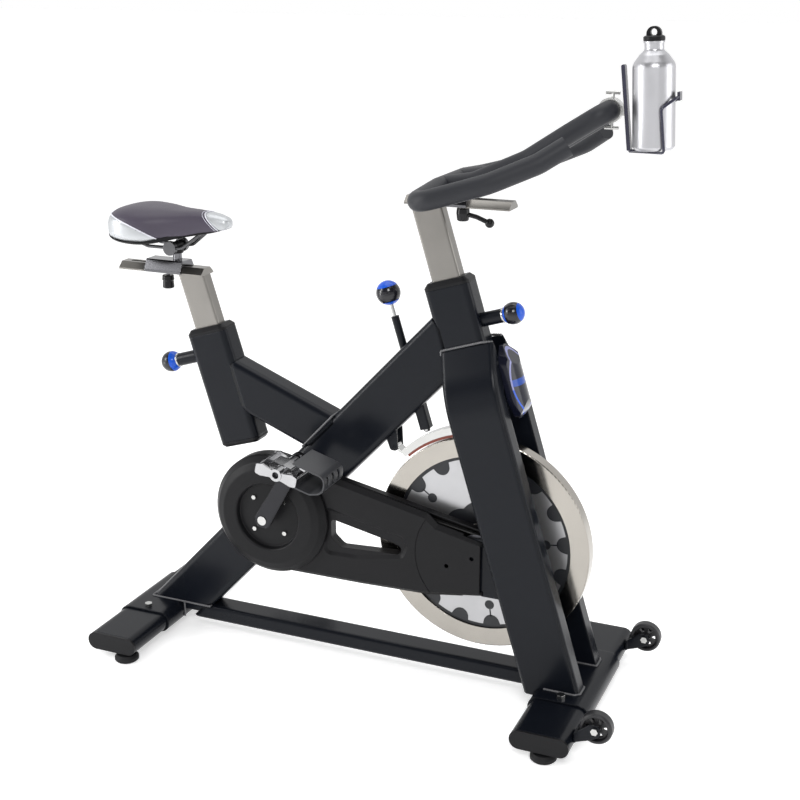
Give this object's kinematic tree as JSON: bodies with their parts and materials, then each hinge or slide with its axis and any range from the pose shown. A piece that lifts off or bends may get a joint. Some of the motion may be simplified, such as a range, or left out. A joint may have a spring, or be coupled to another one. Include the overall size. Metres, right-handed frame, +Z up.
{
  "type": "indoor cycling bike",
  "caption": "Indoor exercise bike with a heavy front flywheel, sliding seat and handlebar posts, a push brake, toe-clip pedals and a bottle on the bars.",
  "frame": {"origin": "on the floor, in the middle of the bounding box", "axes": "+X forward towards the handlebar, +Y towards the rider's left, +Z up"},
  "size_m": [1.175, 0.512, 1.3423],
  "materials": {
    "frame_paint": "satin black powder coat",
    "post_chrome": "polished chrome",
    "disc_print": "silver with a dark geometric pattern",
    "flywheel_iron": "polished rim",
    "steel": "bright zinc",
    "guard_plastic": "fine texture",
    "cap_plastic": "matte black",
    "knob_plastic": "gloss black with blue accents",
    "foam": "charcoal foam sleeve",
    "rubber": "black rubber",
    "wheel_plastic": "black",
    "pedal_metal": "bright steel",
    "toe_plastic": "grey",
    "crank_metal": "black",
    "brake_steel": "plain",
    "pad_felt": "brown felt and leather",
    "saddle_vinyl": "dark grey vinyl",
    "saddle_base": "black",
    "bottle_alu": "brushed",
    "cage_metal": "black",
    "badge_gloss": "gloss black, blue border",
    "belt_rubber": "black"
  },
  "bodies": {
    "frame": {"main_tube": "frame_paint", "seat_arm": "frame_paint", "seat_sleeve": "frame_paint", "head_sleeve": "frame_paint", "fork_legs": "frame_paint", "front_badge": "badge_gloss", "base_tube": "frame_paint", "stabiliser_sleeves": "frame_paint", "stabilisers": "frame_paint", "stabiliser_end_caps": "cap_plastic", "frame_bolts": "steel", "sleeve_caps": "cap_plastic", "wheel_brackets": "cap_plastic", "bottom_bracket_shell": "steel", "bearings": "steel", "pin_stubs": "frame_paint", "guard_outer_shell": "guard_plastic", "guard_inner_shell": "guard_plastic", "guard_crank_cover": "guard_plastic", "brake_guides": "crank_metal", "flywheel_axle": "steel", "drive_belt": "belt_rubber"},
    "foot_rr": {"foot_rear_right": "rubber"},
    "foot_rl": {"foot_rear_left": "rubber"},
    "foot_fr": {"foot_front_right": "rubber"},
    "foot_fl": {"foot_front_left": "rubber"},
    "wheel_r": {"transport_wheel_right": "wheel_plastic"},
    "wheel_l": {"transport_wheel_left": "wheel_plastic"},
    "flywheel_set": {"flywheel": "flywheel_iron", "flywheel_face_plates": "disc_print", "flywheel_pulley": "steel"},
    "crankset": {"crank_spindle": "steel", "crank_arm_right": "crank_metal", "crank_arm_left": "crank_metal", "drive_pulley": "cap_plastic"},
    "pedal_r": {"pedal_right": "pedal_metal", "toe_cage_right": "toe_plastic"},
    "pedal_l": {"pedal_left": "pedal_metal", "toe_cage_left": "toe_plastic"},
    "brake_rod": {"brake_rod": "post_chrome"},
    "brake_knob": {"brake_knob": "knob_plastic"},
    "brake_shoe": {"brake_leaf": "brake_steel", "brake_pad": "pad_felt"},
    "seat_pin": {"seat_pop_pin": "knob_plastic"},
    "bar_pin": {"bar_pop_pin": "knob_plastic"},
    "seat_post": {"seat_post": "post_chrome"},
    "seat_slider": {"seat_slider": "steel", "saddle_clamp": "cap_plastic"},
    "seat_knob": {"seat_slider_knob": "knob_plastic"},
    "saddle": {"saddle_rails": "steel", "saddle_base": "saddle_base", "saddle_pad": "saddle_vinyl"},
    "bar_post": {"bar_post": "post_chrome"},
    "handlebar": {"bar_slider": "cap_plastic", "handlebar": "foam", "bottle_cage": "cage_metal", "cage_clamp": "steel"},
    "bar_lever": {"bar_lever": "knob_plastic"},
    "bottle": {"bottle": "bottle_alu"},
    "bottle_cap": {"bottle_cap": "cap_plastic"}
  },
  "joints": [
    {"name": "seat_height", "type": "slide", "parent": "frame", "child": "seat_post", "axis": [-0.2957, 0, 0.9553], "range_m": [-0.08, 0.07]},
    {"name": "seat_fore_aft", "type": "slide", "parent": "seat_post", "child": "seat_slider", "axis": [1, 0, 0], "range_m": [-0.055, 0.02]},
    {"name": "seat_knob_turn", "type": "hinge", "parent": "seat_slider", "child": "seat_knob", "pos_m": [-0.4795, 0, 0.8], "axis": [0, 0, 1], "range_deg": [-180, 180]},
    {"name": "saddle_tilt", "type": "hinge", "parent": "seat_slider", "child": "saddle", "pos_m": [-0.456, 0, 0.874], "axis": [0, 1, 0], "range_deg": [-10, 10]},
    {"name": "bar_height", "type": "slide", "parent": "frame", "child": "bar_post", "axis": [-0.2957, 0, 0.9553], "range_m": [-0.065, 0.08]},
    {"name": "bar_fore_aft", "type": "slide", "parent": "bar_post", "child": "handlebar", "axis": [1, 0, 0], "range_m": [-0.015, 0.05]},
    {"name": "bar_lever_turn", "type": "hinge", "parent": "handlebar", "child": "bar_lever", "pos_m": [0.1855, 0, 0.99], "axis": [0, 0, 1], "range_deg": [-75, 75]},
    {"name": "flywheel_spin", "type": "hinge", "parent": "frame", "child": "flywheel_set", "pos_m": [0.2415, 0, 0.321], "axis": [0, 1, 0], "continuous": true},
    {"name": "crank_spin", "type": "hinge", "parent": "frame", "child": "crankset", "pos_m": [-0.2141, 0, 0.33], "axis": [0, 1, 0], "continuous": true},
    {"name": "pedal_right_spin", "type": "hinge", "parent": "crankset", "child": "pedal_r", "pos_m": [-0.1291, -0.153, 0.47722], "axis": [0, 1, 0], "continuous": true},
    {"name": "pedal_left_spin", "type": "hinge", "parent": "crankset", "child": "pedal_l", "pos_m": [-0.2991, 0.153, 0.18278], "axis": [0, 1, 0], "continuous": true},
    {"name": "wheel_right_spin", "type": "hinge", "parent": "frame", "child": "wheel_r", "pos_m": [0.5445, -0.198, 0.073], "axis": [0, 1, 0], "continuous": true},
    {"name": "wheel_left_spin", "type": "hinge", "parent": "frame", "child": "wheel_l", "pos_m": [0.5445, 0.198, 0.073], "axis": [0, 1, 0], "continuous": true},
    {"name": "brake_push", "type": "slide", "parent": "frame", "child": "brake_rod", "axis": [0.2957, 0, -0.9553], "range_m": [0, 0.003], "stiffness_N_per_m": 1500, "springref_m": -0.004},
    {"name": "brake_knob_turn", "type": "hinge", "parent": "brake_rod", "child": "brake_knob", "pos_m": [0.0304, 0, 0.8202], "axis": [-0.2957, 0, 0.9553], "range_deg": [-180, 180]},
    {"name": "brake_shoe_swing", "type": "hinge", "parent": "frame", "child": "brake_shoe", "pos_m": [0.0495, 0, 0.503], "axis": [0, 1, 0], "range_deg": [0, 1.1]},
    {"name": "seat_pin_pull", "type": "slide", "parent": "frame", "child": "seat_pin", "axis": [-0.9553, 0, -0.2957], "range_m": [0, 0.008], "stiffness_N_per_m": 600, "springref_m": -0.008},
    {"name": "bar_pin_pull", "type": "slide", "parent": "frame", "child": "bar_pin", "axis": [0.9553, 0, 0.2957], "range_m": [0, 0.008], "stiffness_N_per_m": 600, "springref_m": -0.008},
    {"name": "foot_rear_right_screw", "type": "slide", "parent": "frame", "child": "foot_rr", "axis": [0, 0, 1], "range_m": [-0.012, 0]},
    {"name": "foot_rear_left_screw", "type": "slide", "parent": "frame", "child": "foot_rl", "axis": [0, 0, 1], "range_m": [-0.012, 0]},
    {"name": "foot_front_right_screw", "type": "slide", "parent": "frame", "child": "foot_fr", "axis": [0, 0, 1], "range_m": [-0.012, 0]},
    {"name": "foot_front_left_screw", "type": "slide", "parent": "frame", "child": "foot_fl", "axis": [0, 0, 1], "range_m": [-0.012, 0]},
    {"name": "bottle_lift", "type": "slide", "parent": "handlebar", "child": "bottle", "axis": [-0.0523, 0, 0.9986], "range_m": [0, 0.12]},
    {"name": "bottle_cap_turn", "type": "hinge", "parent": "bottle", "child": "bottle_cap", "pos_m": [0.53406, 0, 1.32024], "axis": [-0.0523, 0, 0.9986], "range_deg": [-180, 180]}
  ],
  "couplings": [
    {"joint": "crank_spin", "follows": "flywheel_spin", "ratio": 0.28571},
    {"joint": "brake_shoe_swing", "follows": "brake_push", "rad_per_m": 5.8178}
  ]
}
